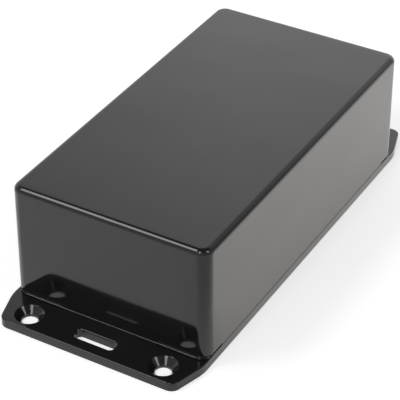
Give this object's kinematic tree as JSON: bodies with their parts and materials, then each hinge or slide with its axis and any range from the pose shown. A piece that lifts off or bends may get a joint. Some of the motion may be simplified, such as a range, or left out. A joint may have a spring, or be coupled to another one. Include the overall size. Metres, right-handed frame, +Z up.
{
  "type": "plastic project box",
  "caption": "Moulded plastic project box: a deep shell screwed onto a flat lid that runs on as a mounting flange at each end, with countersunk holes and strap slots.",
  "frame": {"origin": "centre of the lid's underside, which the box stands on", "axes": "+Y along the box from flange to flange, +X across it, +Z up from the lid to the closed top"},
  "size_m": [0.08, 0.1822, 0.0495],
  "materials": {
    "shell_plastic": "polished black ABS with a mirror-like gloss",
    "lid_plastic": "polished black ABS with a mirror-like gloss",
    "screw_steel": "zinc-plated steel",
    "insert_brass": "plain turned brass"
  },
  "bodies": {
    "lid": {"flanged_lid": "lid_plastic", "lid_screws": "screw_steel"},
    "shell": {"shell": "shell_plastic", "threaded_inserts": "insert_brass"}
  },
  "joints": [
    {"name": "shell_lift", "type": "slide", "parent": "lid", "child": "shell", "axis": [0, 0, 1], "range_m": [0, 0.06]}
  ]
}
